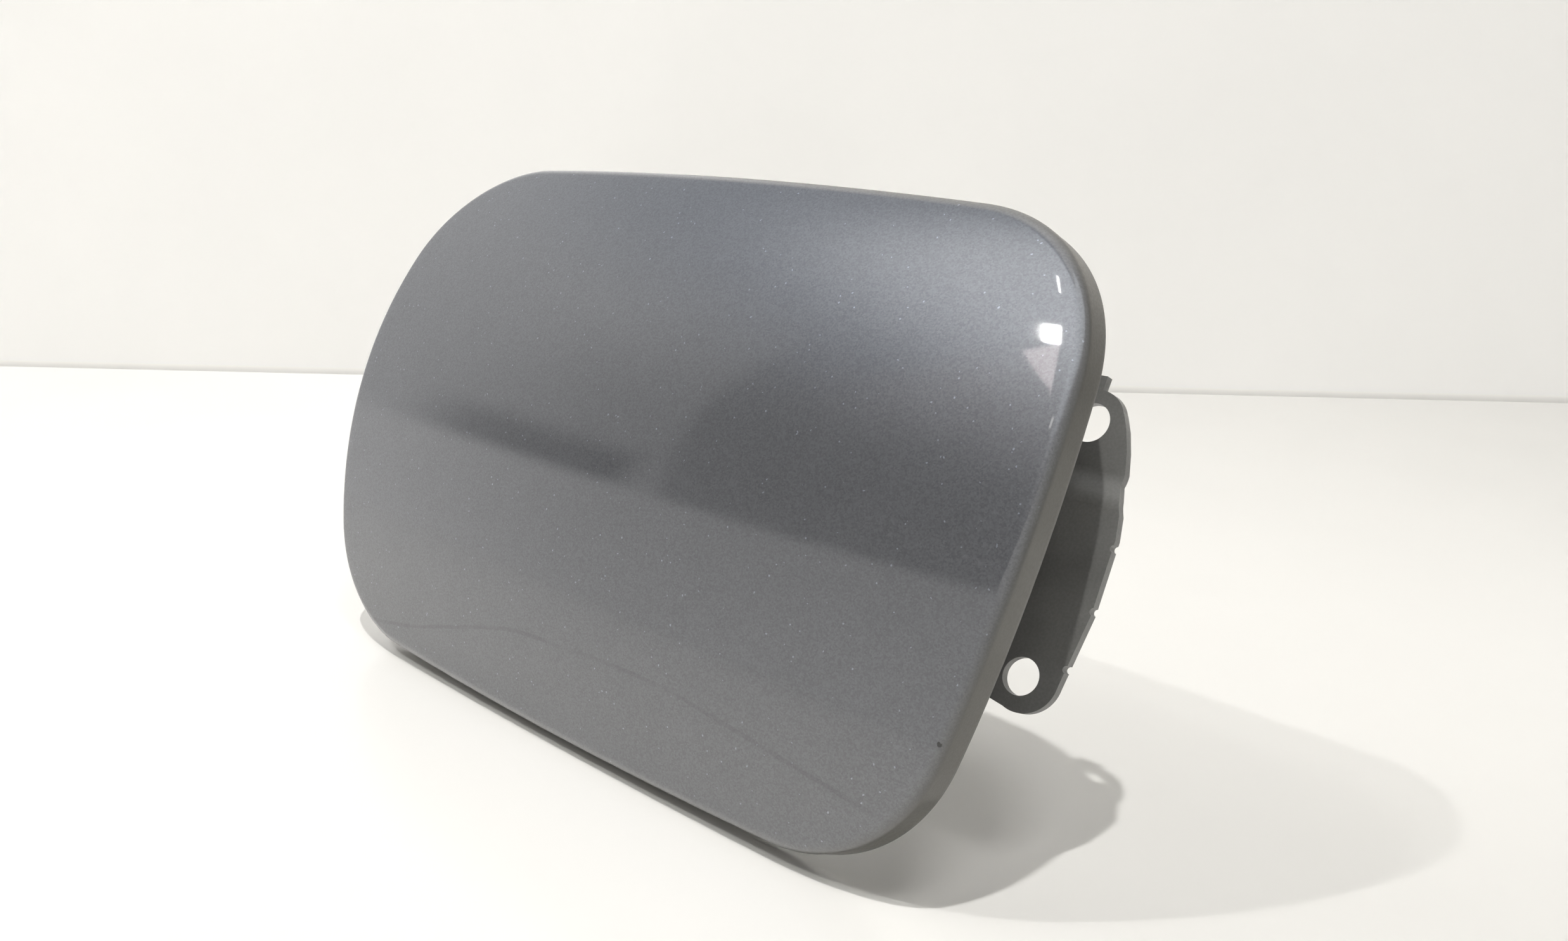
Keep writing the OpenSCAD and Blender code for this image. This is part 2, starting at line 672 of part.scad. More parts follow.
module cap_holder() {
    inner = fork_gap / 2;
    outer = inner + holder_t;
    color([0.1, 0.1, 0.1])
        translate([holder_x, dish_y, holder_z - holder_h / 2]) difference() {
            linear_extrude(holder_h) polygon([
                [-holder_w / 2, 0], [holder_w / 2, 0], [holder_w / 2, holder_t], [outer, holder_t],
                [outer, fork_reach - 0.4 * fork_tip], [outer - 0.2 * fork_tip, fork_reach],
                [inner - fork_hook, fork_reach - 0.6 * fork_tip],
                [inner - fork_hook, fork_reach - 0.8 * fork_tip], [inner, fork_reach - fork_tip],
                [inner, holder_t], [-inner, holder_t], [-inner, fork_reach - fork_tip],
                [fork_hook - inner, fork_reach - 0.8 * fork_tip],
                [fork_hook - inner, fork_reach - 0.6 * fork_tip],
                [0.2 * fork_tip - outer, fork_reach], [-outer, fork_reach - 0.4 * fork_tip],
                [-outer, holder_t], [-holder_w / 2, holder_t]]);
            for (s = [-1, 1]) translate([s * clip_pitch / 2, -1, holder_h / 2])
                along_y(clip_d / 2, holder_t + 2);
        }
}

clip_barb = 1.6;
clip_head_h = 1.2;

module holder_clip(s) {
    seat = dish_y + holder_t;
    front = platform_y - dish_d;
    color([0.15, 0.15, 0.15])
        at_clip(s) rotate([-90, 0, 0]) rotate_extrude()
            polygon([[0, front - clip_barb], [clip_d * 0.35, front - clip_barb],
                [clip_d * 0.68, front - clip_barb / 4], [clip_d * 0.68, front], [clip_d / 2, front],
                [clip_d / 2, seat], [clip_d * 0.85, seat], [clip_d * 0.8, seat + clip_head_h * 0.7],
                [clip_d * 0.5, seat + clip_head_h], [0, seat + clip_head_h]]);
}

outer_skin();
inner_panel();
mastic_pad(1, 1);  // pad_top_hinge
mastic_pad(-1, 1);  // pad_top_free
mastic_pad(1, -1);  // pad_bottom_hinge
mastic_pad(-1, -1);  // pad_bottom_free
hinge_arm();
arm_bolt(1);  // arm_bolt_upper
arm_bolt(-1);  // arm_bolt_lower
weld_nut(1);  // weld_nut_upper
weld_nut(-1);  // weld_nut_lower
bush(1);  // bush_upper
bush(-1);  // bush_lower
hinge_plate();
hinge_pin();
pin_washer();
pin_clip();
torsion_spring();
catch();
catch_rivet(1);  // catch_rivet_upper
catch_rivet(-1);  // catch_rivet_lower
buffer(1);  // buffer_upper
buffer(-1);  // buffer_lower
cap_holder();
holder_clip(1);  // holder_clip_hinge
holder_clip(-1);  // holder_clip_free
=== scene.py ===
"""Car fuel door on a pale table: smooth painted skin, finishes for every piece, stage, lamps, camera."""

import json
import math

import bmesh
import bpy
import numpy as np
from mathutils import Matrix, Vector


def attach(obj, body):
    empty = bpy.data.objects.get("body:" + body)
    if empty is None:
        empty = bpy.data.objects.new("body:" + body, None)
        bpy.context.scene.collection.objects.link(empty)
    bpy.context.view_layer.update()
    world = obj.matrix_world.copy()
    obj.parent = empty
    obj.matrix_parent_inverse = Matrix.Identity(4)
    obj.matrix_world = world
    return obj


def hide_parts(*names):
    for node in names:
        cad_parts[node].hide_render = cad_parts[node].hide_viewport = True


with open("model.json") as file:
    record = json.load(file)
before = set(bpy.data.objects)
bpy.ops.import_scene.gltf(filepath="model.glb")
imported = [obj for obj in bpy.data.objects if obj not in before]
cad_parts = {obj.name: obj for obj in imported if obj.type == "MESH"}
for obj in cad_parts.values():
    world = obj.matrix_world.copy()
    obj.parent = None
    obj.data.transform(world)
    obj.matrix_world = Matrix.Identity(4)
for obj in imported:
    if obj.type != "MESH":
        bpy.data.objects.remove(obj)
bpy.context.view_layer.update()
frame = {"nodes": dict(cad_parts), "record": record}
MM = 0.001

# Sizes, in millimetres.
DOOR_W, DOOR_H = 200.0, 128.0
FACE_MIDDLE = np.array([-93.2, -32.0, 17.2])
BOW_HINGE, BOW_FREE, BOW_TOP, BOW_BOTTOM = 194.0, 153.0, 1448.0, 1660.0
CORNER_TOP_HINGE, CORNER_BOTTOM_HINGE = 36.6, 33.8
CORNER_TOP_FREE, CORNER_BOTTOM_FREE = 36.4, 33.0
CROWN_SIDE, CROWN_UP, CROWN_TOP_GAIN = 2.08, 11.64, 1.52
SKIN_T, FLANGE_D, ROLL_R = 0.9, 7.7, 2.0
SHEARED_EDGE = 0.22
FACE_RINGS = 44
CREASE_ANGLE = 32.0


# Shapes.
def corner_centre(half_w, half_h, side_r, top_r, corner_r):
    """Centre of the corner circle that touches the side's circle and the top's circle from inside:
    it lies side_r - corner_r from the one centre and top_r - corner_r from the other."""
    side = np.array([half_w - side_r, 0.0])
    top = np.array([0.0, half_h - top_r])
    gap = np.linalg.norm(top - side)
    along = (top - side) / gap
    reach_side, reach_top = side_r - corner_r, top_r - corner_r
    run = (reach_side**2 - reach_top**2 + gap**2) / (2 * gap)
    rise = math.sqrt(max(reach_side**2 - run**2, 0.0))
    across = rise * np.array([-along[1], along[0]])
    found = [side + run * along + across, side + run * along - across]
    return max(found, key=lambda p: p[0] + p[1])


def quarter(half_w, half_h, side_r, top_r, corner_r, side_n, corner_n):
    """Points from the middle of a side, round the corner, to the middle of the top: three arcs
    that touch, each sampled at equal angles."""
    c = corner_centre(half_w, half_h, side_r, top_r, corner_r)
    a1 = math.atan2(c[1], c[0] - half_w + side_r)
    a2 = math.atan2(c[1] - half_h + top_r, c[0])
    side_a = np.linspace(0.0, a1, side_n, endpoint=False)
    corner_a = np.linspace(a1, a2, corner_n)
    top_a = np.linspace(a2, math.pi / 2, side_n + 1)[1:]

    def arc(x, y, r, a):
        return np.stack([x + r * np.cos(a), y + r * np.sin(a)], axis=1)

    return np.concatenate(
        [
            arc(half_w - side_r, 0.0, side_r, side_a),
            arc(c[0], c[1], corner_r, corner_a),
            arc(0.0, half_h - top_r, top_r, top_a),
        ]
    )


def outline(inset, side_n=26, corner_n=44):
    """The door's outline moved inwards by a distance, as points round the middle of the face."""
    w, h = DOOR_W / 2 - inset, DOOR_H / 2 - inset
    rh, rf, rt, rb = (r - inset for r in (BOW_HINGE, BOW_FREE, BOW_TOP, BOW_BOTTOM))
    n = (side_n, corner_n)
    q1 = quarter(w, h, rh, rt, CORNER_TOP_HINGE - inset, *n)
    q2 = quarter(w, h, rf, rt, CORNER_TOP_FREE - inset, *n)[::-1] * (-1, 1)
    q3 = quarter(w, h, rf, rb, CORNER_BOTTOM_FREE - inset, *n) * (-1, -1)
    q4 = quarter(w, h, rh, rb, CORNER_BOTTOM_HINGE - inset, *n)[::-1] * (1, -1)
    return np.concatenate([q[:-1] for q in (q1, q2, q3, q4)])


def crown(p):
    """Depth of the crowned face behind its middle: a parabola each way, steeper towards the top."""
    u, v = 2 * p[..., 0] / DOOR_W, 2 * p[..., 1] / DOOR_H
    return CROWN_SIDE * u**2 + CROWN_UP * v**2 + CROWN_TOP_GAIN * v**3


def ring(inset, share, depth):
    """One ring of the skin: the outline moved in, shrunk towards the middle and laid on the crown."""
    p = outline(inset) * share
    return np.stack([p[:, 0], crown(p) + depth, p[:, 1]], axis=1) + FACE_MIDDLE


def closed_shell(name, first, rings, last):
    """A closed surface through rings of equal length, shut by a point at each end. Faces point
    outwards when the rings turn from +X to +Z and run from the front to the back."""
    n, m = len(rings[0]), len(rings)
    points = np.concatenate([[first], *rings, [last]]) * MM
    i = np.arange(n)
    k = (i + 1) % n
    start = np.stack([np.zeros(n, int), 1 + i, 1 + k], axis=1)
    end = np.stack([np.full(n, m * n + 1), 1 + (m - 1) * n + k, 1 + (m - 1) * n + i], axis=1)
    j = np.arange(m - 1)[:, None] * n
    quads = np.stack([1 + j + i, 1 + j + n + i, 1 + j + n + k, 1 + j + k], axis=-1).reshape(-1, 4)
    return surface(name, points, [*start.tolist(), *quads.tolist(), *end.tolist()])


def surface(name, points, faces, smooth=True):
    mesh = bpy.data.meshes.new(name)
    mesh.from_pydata(np.asarray(points, float).tolist(), [], faces)
    mesh.update()
    if smooth:
        mesh.shade_smooth()
    obj = bpy.data.objects.new(name, mesh)
    bpy.context.collection.objects.link(obj)
    return obj


def painted_skin():
    """The crowned face, the rolled edge, the flange and its sheared end, and the inner side, as one
    shell: ring insets and depths follow the section of the sheet from the middle out and back."""
    shares = np.linspace(0.02, 1.0, FACE_RINGS)[:-1]
    roll = np.radians(np.linspace(0, 90, 15))
    inner_r = ROLL_R - SKIN_T
    shear = SHEARED_EDGE
    rings = [ring(ROLL_R, s, 0.0) for s in shares]
    rings += [ring(ROLL_R * (1 - math.sin(a)), 1, ROLL_R * (1 - math.cos(a))) for a in roll]
    rings += [ring(0.0, 1, d) for d in np.linspace(ROLL_R, FLANGE_D - shear, 9)[1:]]
    end = np.radians(np.linspace(0, 90, 5))
    rings += [
        ring(shear * (1 - math.cos(a)), 1, FLANGE_D - shear + shear * math.sin(a)) for a in end[1:]
    ]
    rings += [
        ring(SKIN_T - shear + shear * math.sin(a), 1, FLANGE_D - shear + shear * math.cos(a))
        for a in end
    ]
    rings += [ring(SKIN_T, 1, d) for d in np.linspace(FLANGE_D - shear, ROLL_R, 5)[1:-1]]
    rings += [
        ring(SKIN_T + inner_r * (1 - math.sin(a)), 1, SKIN_T + inner_r * (1 - math.cos(a)))
        for a in roll[::-2]
    ]
    rings += [ring(ROLL_R, s, SKIN_T) for s in shares[::-3]]
    middle = FACE_MIDDLE.copy()
    made = closed_shell("skin_painted", middle, rings, middle + [0, SKIN_T, 0])
    thin = np.zeros(len(rings))
    thin[len(shares) :] = 1.0
    thin[len(shares) : len(shares) + len(roll)] = np.linspace(0, 1, len(roll)) ** 1.5
    share = np.concatenate([[0.0], np.repeat(thin, len(rings[0])), [1.0]])
    mask = made.data.attributes.new("thin_coat", "FLOAT", "POINT")
    mask.data.foreach_set("value", share.astype(np.float32))
    return made


def dressed_copy(node, bevel):
    """A copy of a CAD node with merged corners, flat faces rejoined and softened edges."""
    source = frame["nodes"][node]
    mesh = source.data.copy()
    mesh.name = node + "_dressed"
    work = bmesh.new()
    work.from_mesh(mesh)
    bmesh.ops.remove_doubles(work, verts=work.verts, dist=2e-6)
    bmesh.ops.dissolve_limit(
        work, angle_limit=math.radians(1.0), verts=work.verts, edges=work.edges
    )
    work.to_mesh(mesh)
    work.free()
    mesh.materials.clear()
    obj = bpy.data.objects.new(node + "_dressed", mesh)
    bpy.context.collection.objects.link(obj)
    if bevel:
        soft = obj.modifiers.new("soft edges", "BEVEL")
        soft.width = bevel * MM
        soft.segments = 2
        soft.limit_method = "ANGLE"
        soft.angle_limit = math.radians(CREASE_ANGLE)
        soft.use_clamp_overlap = True
        soft.harden_normals = False
    mesh.shade_smooth()
    mesh.set_sharp_from_angle(angle=math.radians(CREASE_ANGLE))
    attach(obj, body_of[node])
    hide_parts(node)
    return obj


body_of = {
    node: body for body, nodes in frame["record"]["behaviour"]["bodies"].items() for node in nodes
}
slot_of = {part["node"]: part["material_slot"] for part in frame["record"]["subparts"]}


# Finishes.
class Finish:
    """A material under construction: adds nodes and links them in a few words."""

    def __init__(self, name, rough, metal=0.0, coat=0.0, coat_rough=0.03, spec=0.5):
        self.mat = bpy.data.materials.new(name)
        self.mat.use_nodes = True
        self.tree = self.mat.node_tree
        self.shader = self.tree.nodes["Principled BSDF"]
        self.shader.inputs["Roughness"].default_value = rough
        self.shader.inputs["Metallic"].default_value = metal
        self.shader.inputs["Coat Weight"].default_value = coat
        self.shader.inputs["Coat Roughness"].default_value = coat_rough
        self.shader.inputs["Specular IOR Level"].default_value = spec
        self.place = self.node("ShaderNodeTexCoord").outputs["Object"]

    def node(self, kind, **values):
        made = self.tree.nodes.new(kind)
        for key, value in values.items():
            setattr(made, key, value)
        return made

    def feed(self, socket, value):
        if isinstance(value, (int, float)):
            socket.default_value = value
        elif isinstance(value, tuple):
            short = len(socket.default_value) - len(value)
            socket.default_value = value + (1.0,) * short
        else:
            self.tree.links.new(value, socket)

    def noise(self, size_mm, detail=3.0, rough=0.5, stretch=(1, 1, 1)):
        """Noise whose blotches are about size_mm across."""
        spot = self.node("ShaderNodeMapping")
        self.feed(spot.inputs["Vector"], self.place)
        spot.inputs["Scale"].default_value = stretch
        made = self.node("ShaderNodeTexNoise")
        self.feed(made.inputs["Vector"], spot.outputs["Vector"])
        made.inputs["Scale"].default_value = 1000.0 / size_mm
        made.inputs["Detail"].default_value = detail
        made.inputs["Roughness"].default_value = rough
        return made.outputs["Fac"]

    def cells(self, size_mm):
        """A random colour for each cell of about size_mm."""
        made = self.node("ShaderNodeTexVoronoi")
        self.feed(made.inputs["Vector"], self.place)
        made.inputs["Scale"].default_value = 1000.0 / size_mm
        return made.outputs["Color"]

    def maths(self, how, a, b=0.0):
        made = self.node("ShaderNodeMath", operation=how)
        for socket, value in zip(made.inputs, (a, b)):
            self.feed(socket, value)
        return made.outputs["Value"]

    def ramp(self, value, low, high, to_low=0.0, to_high=1.0, smooth=True):
        made = self.node("ShaderNodeMapRange", clamp=True)
        made.interpolation_type = "SMOOTHSTEP" if smooth else "LINEAR"
        for key, v in (
            ("Value", value),
            ("From Min", low),
            ("From Max", high),
            ("To Min", to_low),
            ("To Max", to_high),
        ):
            self.feed(made.inputs[key], v)
        return made.outputs["Result"]

    def mix(self, share, a, b, how="MIX"):
        made = self.node("ShaderNodeMix", data_type="RGBA", blend_type=how)
        self.feed(made.inputs[0], share)
        self.feed(made.inputs[6], a)
        self.feed(made.inputs[7], b)
        return made.outputs[2]

    def axis(self, which):
        made = self.node("ShaderNodeSeparateXYZ")
        self.feed(made.inputs[0], self.place)
        return made.outputs["XYZ".index(which)]

    def along(self, direction):
        """How far a place lies along a direction."""
        made = self.node("ShaderNodeVectorMath", operation="DOT_PRODUCT")
        self.feed(made.inputs[0], self.place)
        made.inputs[1].default_value = direction
        return made.outputs["Value"]

    def hairline(self, points, wide):
        """A thin drawn line, 1 on it and 0 off it, through points given as X and Z in millimetres."""
        low_x, high_x = points[0][0], points[-1][0]
        low_z, high_z = min(z for x, z in points) - 1, max(z for x, z in points) + 1
        curve = self.node("ShaderNodeFloatCurve")
        share = self.ramp(self.axis("X"), low_x * MM, high_x * MM, smooth=False)
        self.feed(curve.inputs["Value"], share)
        line = curve.mapping.curves[0]
        while len(line.points) < len(points):
            line.points.new(0.5, 0.5)
        for spot, (x, z) in zip(line.points, points):
            spot.location = ((x - low_x) / (high_x - low_x), (z - low_z) / (high_z - low_z))
        curve.mapping.update()
        height = self.ramp(curve.outputs["Value"], 0.0, 1.0, low_z * MM, high_z * MM, smooth=False)
        off = self.maths("ABSOLUTE", self.maths("SUBTRACT", self.axis("Z"), height))
        return self.ramp(off, 0.3 * wide * MM, 0.7 * wide * MM, 1.0, 0.0)

    def stroke(self, start, end, wide):
        """A short straight scratch, 1 on it and 0 off it, between two X and Z points in millimetres."""
        (x, z), run_x, run_z = start, end[0] - start[0], end[1] - start[1]
        long = math.hypot(run_x, run_z)
        way, side = (run_x / long, 0.0, run_z / long), (run_z / long, 0.0, -run_x / long)
        run = self.maths("SUBTRACT", self.along(way), (x * way[0] + z * way[2]) * MM)
        off = self.maths("SUBTRACT", self.along(side), (x * side[0] + z * side[2]) * MM)
        run = self.maths("ABSOLUTE", self.maths("SUBTRACT", run, long / 2 * MM))
        ends = self.ramp(run, 0.2 * long * MM, 0.5 * long * MM, 1.0, 0.0)
        off = self.ramp(self.maths("ABSOLUTE", off), 0.3 * wide * MM, 0.7 * wide * MM, 1.0, 0.0)
        return self.maths("MULTIPLY", ends, off)

    def split(self, value):
        """The three parts of a colour."""
        made = self.node("ShaderNodeSeparateColor")
        self.feed(made.inputs[0], value)
        return made.outputs

    def distance(self, point):
        """How far a place is from a point given in millimetres."""
        made = self.node("ShaderNodeVectorMath", operation="DISTANCE")
        self.feed(made.inputs[0], self.place)
        made.inputs[1].default_value = tuple(c * MM for c in point)
        return made.outputs["Value"]

    def colour(self, value):
        self.feed(self.shader.inputs["Base Color"], value)

    def rough(self, value):
        self.feed(self.shader.inputs["Roughness"], value)

    def bump(self, height, strength, distance_mm, before=None):
        made = self.node("ShaderNodeBump")
        self.feed(made.inputs["Height"], height)
        made.inputs["Strength"].default_value = strength
        made.inputs["Distance"].default_value = distance_mm * MM
        if before is not None:
            self.feed(made.inputs["Normal"], before)
        self.feed(self.shader.inputs["Normal"], made.outputs["Normal"])
        return made.outputs["Normal"]


# A thin faint dark line in the paint, a painted reflection of a line on the table in front of the door,
# as X and Z in millimetres, from the free side.
MIRRORED_TABLE_LINE = [
    (-167.2, -41.8),
    (-152.2, -39.2),
    (-135.2, -34.7),
    (-118.2, -30.0),
    (-107.2, -27.7),
    (-93.2, -26.6),
    (-60.2, -25.4),
    (-46.2, -26.6),
    (-30.2, -28.2),
    (-3.2, -31.1),
]


def body_paint():
    """Grey metallic base under a clear coat, with fine flake, a few painted glints (flake cells given a
    brighter colour in place of flakes catching the light), faint mottle, one small chip, one thin dark
    line that is a painted reflection of a line on the table, and one light scratch. On the flange the
    coat is thin."""
    f = Finish("body_paint", rough=0.42, metal=0.8, coat=1.0, coat_rough=0.035)
    cell = f.cells(0.3)
    flake = f.split(cell)
    fine = f.ramp(flake[0], 0.0, 1.0, 0.86, 1.14, smooth=False)
    mottle = f.ramp(f.noise(9.0, 3.0), 0.3, 0.7, 0.985, 1.015)
    base = f.mix(1.0, (0.170, 0.173, 0.182), f.maths("MULTIPLY", fine, mottle), "MULTIPLY")
    # Painted glints: a few flake cells get a lighter, bluish base colour that stands in for flakes
    # catching the light.
    flake_glint = f.maths("GREATER_THAN", flake[1], 0.998)
    base = f.mix(flake_glint, base, (0.34, 0.36, 0.40))
    thin = f.node("ShaderNodeAttribute", attribute_name="thin_coat").outputs["Fac"]
    base = f.mix(thin, base, f.mix(1.0, (0.055, 0.051, 0.039), mottle, "MULTIPLY"))
    f.feed(f.shader.inputs["Metallic"], f.ramp(thin, 0.0, 1.0, 0.8, 0.0, smooth=False))
    f.feed(f.shader.inputs["Coat Weight"], f.ramp(thin, 0.0, 1.0, 1.0, 0.5, smooth=False))
    f.shader.inputs["Coat IOR"].default_value = 1.65
    chip_at = f.distance((3.2, -27.4, -14.5))
    ragged = f.maths("ADD", chip_at, f.maths("MULTIPLY", f.noise(0.6, 2.0), 0.0008))
    chip = f.ramp(ragged, 0.00085, 0.0010, 1.0, 0.0)
    base = f.mix(chip, base, (0.028, 0.027, 0.027))
    # Painted reflection: a thin dark line, patchy in strength, painted on the face where the clear coat
    # mirrors a line on the table.
    patchy = f.ramp(f.noise(14.0, 3.0), 0.35, 0.6, 0.06, 0.22)
    face_only = f.maths("SUBTRACT", 1.0, thin)
    line = f.maths("MULTIPLY", f.hairline(MIRRORED_TABLE_LINE, 0.9), f.maths("MULTIPLY", patchy, face_only))
    base = f.mix(line, base, (0.05, 0.05, 0.055))
    scratch = f.maths("MULTIPLY", f.stroke((2.8, 43.0), (3.1, 40.3), 0.36), face_only)
    base = f.mix(f.maths("MULTIPLY", scratch, 0.5), base, (0.62, 0.61, 0.59))
    f.colour(base)
    f.rough(f.ramp(f.noise(0.5, 2.0), 0.3, 0.7, 0.38, 0.46))
    peel = f.noise(2.4, 2.0)
    first = f.bump(peel, 0.05, 0.05)
    f.bump(f.maths("SUBTRACT", 1.0, chip), 0.7, 0.12, before=first)
    return f.mat


def plain_metal(name, tint, rough, metal, grain=0.6, change=0.12, stain=None, amount=0.0):
    """Bare or plated metal: fine grain, slow changes of tone and stains in patches."""
    f = Finish(name, rough=rough, metal=metal)
    slow = f.ramp(f.noise(11.0, 4.0), 0.3, 0.7, 1 - change, 1 + change)
    fine = f.ramp(f.noise(grain, 3.0), 0.25, 0.75, 1 - change / 2, 1 + change / 2)
    base = f.mix(1.0, tint, f.maths("MULTIPLY", slow, fine), "MULTIPLY")
    if stain is not None:
        patch = f.ramp(f.noise(6.0, 5.0, 0.65), 0.52, 0.66, 0.0, amount)
        base = f.mix(patch, base, stain)
    f.colour(base)
    f.rough(f.ramp(f.noise(3.0, 4.0), 0.3, 0.7, rough - 0.07, rough + 0.08))
    f.bump(f.noise(grain, 3.0), 0.18, 0.06)
    return f.mat


def coated_steel():
    """Dark dip coat on pressed steel: satin, uneven in tone, with light scuffs."""
    f = Finish("coated_steel", rough=0.4, spec=0.9)
    slow = f.ramp(f.noise(14.0, 4.0), 0.3, 0.7, 0.88, 1.14)
    fine = f.ramp(f.noise(0.5, 2.0), 0.3, 0.7, 0.93, 1.07)
    base = f.mix(1.0, (0.185, 0.184, 0.176), f.maths("MULTIPLY", slow, fine), "MULTIPLY")
    scuff = f.ramp(f.noise(3.0, 6.0, 0.7, stretch=(1, 1, 0.35)), 0.66, 0.74, 0.0, 0.22)
    base = f.mix(scuff, base, (0.25, 0.245, 0.235))
    f.colour(base)
    f.rough(f.ramp(f.noise(5.0, 4.0), 0.3, 0.7, 0.34, 0.5))
    f.bump(f.noise(0.8, 3.0), 0.22, 0.05)
    return f.mat


def moulded(name, tint, rough, grain=0.35, strength=0.25, change=0.08, wax=0.0):
    """Moulded plastic or rubber: etched grain, slight changes of tone, dust in patches."""
    f = Finish(name, rough=rough)
    slow = f.ramp(f.noise(8.0, 3.0), 0.3, 0.7, 1 - change, 1 + change)
    base = f.mix(1.0, tint, slow, "MULTIPLY")
    dust = f.ramp(f.noise(5.0, 5.0, 0.7), 0.5, 0.75, 0.0, 0.16)
    base = f.mix(dust, base, (0.22, 0.21, 0.19))
    f.colour(base)
    f.rough(f.ramp(f.noise(2.0, 3.0), 0.3, 0.7, rough - 0.05, rough + 0.07))
    f.bump(f.noise(grain, 2.0), strength, 0.05)
    if wax:
        f.shader.inputs["Subsurface Weight"].default_value = wax
        f.shader.inputs["Subsurface Radius"].default_value = (0.002, 0.0015, 0.001)
    return f.mat


def inner_paint():
    """Body colour sprayed thinly inside the door, dull, with overspray grain and dust."""
    f = Finish("inner_paint", rough=0.55, metal=0.35, coat=0.25, coat_rough=0.3)
    flake = f.split(f.cells(0.5))
    fine = f.ramp(flake[0], 0.0, 1.0, 0.9, 1.1, smooth=False)
    slow = f.ramp(f.noise(16.0, 4.0), 0.3, 0.7, 0.9, 1.08)
    base = f.mix(1.0, (0.2, 0.203, 0.21), f.maths("MULTIPLY", fine, slow), "MULTIPLY")
    dust = f.ramp(f.noise(7.0, 6.0, 0.7), 0.5, 0.72, 0.0, 0.25)
    base = f.mix(dust, base, (0.3, 0.28, 0.25))
    f.colour(base)
    f.rough(f.ramp(f.noise(4.0, 4.0), 0.3, 0.7, 0.48, 0.66))
    f.bump(f.noise(0.9, 3.0), 0.2, 0.06)
    return f.mat


finishes = {
    "body_paint": body_paint(),
    "inner_paint": inner_paint(),
    "coated_steel": coated_steel(),
    "zinc_yellow": plain_metal(
        "zinc_yellow", (0.50, 0.40, 0.21), 0.36, 0.85, stain=(0.42, 0.24, 0.30), amount=0.35
    ),
    "bare_steel": plain_metal(
        "bare_steel", (0.46, 0.45, 0.43), 0.38, 0.9, stain=(0.16, 0.08, 0.04), amount=0.35
    ),
    "spring_steel": plain_metal(
        "spring_steel", (0.13, 0.13, 0.135), 0.34, 0.85, grain=0.4, stain=(0.14, 0.06, 0.03), amount=0.3
    ),
    "nylon": moulded("nylon", (0.72, 0.70, 0.62), 0.42, strength=0.1, change=0.04, wax=0.15),
    "buffer_rubber": moulded("buffer_rubber", (0.022, 0.022, 0.023), 0.72, strength=0.35),
    "moulded_plastic": moulded("moulded_plastic", (0.03, 0.03, 0.032), 0.52),
    "mastic": moulded("mastic", (0.035, 0.034, 0.036), 0.8, grain=1.2, strength=0.5),
}


# Pieces.
skin = painted_skin()
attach(skin, body_of["outer_skin"])
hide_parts("outer_skin")
dressed = {"outer_skin": skin}
for node, bevel in (
    ("hinge_plate", 0.16),
    ("hinge_arm", 0.2),
    ("catch", 0.2),
    ("inner_panel", 0.0),
    ("torsion_spring", 0.0),
    ("cap_holder", 0.25),
    ("arm_bolt_upper", 0.15),
    ("arm_bolt_lower", 0.15),
):
    dressed[node] = dressed_copy(node, bevel)

# Camera, and the photo's size, focal length and optical centre in its own pixels.
RIGHT = Vector((0.664585, 0.682818, 0.303457))
UPWARD = Vector((-0.308227, -0.119439, 0.943785))
FORWARD = Vector((-0.680678, 0.720759, -0.131085))
FOCAL_PX, CENTRE_X, CENTRE_Y, IMAGE_W, IMAGE_H = 2053.63, 960.11, 1054.27, 2474, 1484

lens = bpy.data.cameras.new("camera")
lens.sensor_fit = "HORIZONTAL"
lens.sensor_width = 36.0
lens.lens = 36.0 * FOCAL_PX / IMAGE_W
lens.shift_x = (IMAGE_W / 2 - CENTRE_X) / IMAGE_W
lens.shift_y = (CENTRE_Y - IMAGE_H / 2) / IMAGE_W
lens.clip_start, lens.clip_end = 0.01, 20.0
camera = bpy.data.objects.new("camera", lens)
turn = Matrix((RIGHT, UPWARD, -FORWARD)).transposed().to_4x4()
camera.matrix_world = Matrix.Translation((0.1119, -0.2260, 0.0097)) @ turn
bpy.context.collection.objects.link(camera)
bpy.context.scene.camera = camera

# Table and wall.
TABLE_UP = Vector((0.0, -0.406, 0.914)).normalized()
TABLE_LEVEL = -37.1 * MM
WALL_GLOW = 0.19
wall_a, wall_b = Vector((-0.616, 0.029, -0.024)), Vector((-0.043, 0.501, 0.185))
along = (wall_b - wall_a).normalized()
along = (along - along.dot(TABLE_UP) * TABLE_UP).normalized()
towards = TABLE_UP.cross(along)
towards = -towards if towards.dot(Vector((0, 0, 0)) - wall_a) < 0 else towards


def backdrop(name, run, rise, sweep, mirrored=True):
    """A flat piece of the stage: run from the wall's foot, rise over the table, sweep along it."""
    foot = wall_a - (wall_a.dot(TABLE_UP) - TABLE_LEVEL) * TABLE_UP
    corners = [
        foot + s * along + r * towards + h * TABLE_UP for s in sweep for r, h in zip(run, rise)
    ]
    made = surface(name, corners, [[0, 2, 3, 1]], smooth=False)
    if made.data.polygons[0].normal.dot(TABLE_UP + towards) < 0:
        made.data.flip_normals()
    made.data.materials.append(stage_white)
    made.visible_glossy = mirrored


